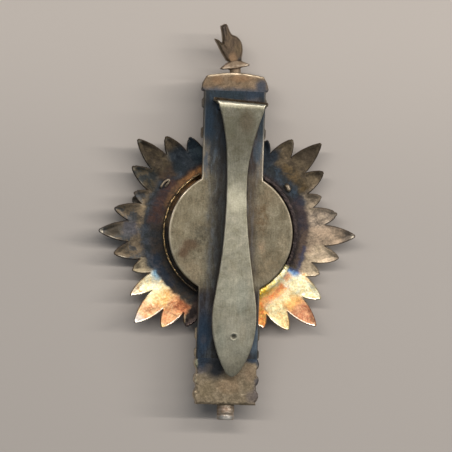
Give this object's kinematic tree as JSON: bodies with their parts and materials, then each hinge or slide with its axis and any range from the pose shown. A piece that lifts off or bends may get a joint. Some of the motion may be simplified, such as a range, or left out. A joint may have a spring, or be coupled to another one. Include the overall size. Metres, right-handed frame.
{
  "type": "parliamentary badge",
  "caption": "Silver parliamentary badge seen from its back: bar and disc with a long spring clip, dished ray plate, rod bundle and small hand on a staff.",
  "frame": {"origin": "on the surface that the badge lies on, under the middle of its outline; the front of the badge faces down", "axes": "+X across the badge, +Y along the bar towards the hand, +Z out of the back, towards the clip"},
  "size_m": [0.0518, 0.0794, 0.0119],
  "materials": {
    "sheet_silver": "tarnished silver sheet, grey-beige with blue-black stains",
    "cast_silver": "rough cast silver with brown tarnish",
    "ray_silver": "silver sheet with brown, blue and orange tarnish",
    "clip_metal": "worn grey spring metal, satin",
    "staff_silver": "bright silver with pinkish tarnish",
    "hand_metal": "dark brown tarnished silver, matt"
  },
  "bodies": {
    "root": {"back_plate": "sheet_silver", "rod_bundle": "cast_silver", "head_cap": "cast_silver", "foot_block": "cast_silver", "ray_plate": "ray_silver", "medallion": "ray_silver", "wreath_ring": "cast_silver", "spring_clip": "clip_metal", "staff_cuff": "staff_silver", "hand": "hand_metal", "staff_butt": "staff_silver"}
  },
  "joints": []
}
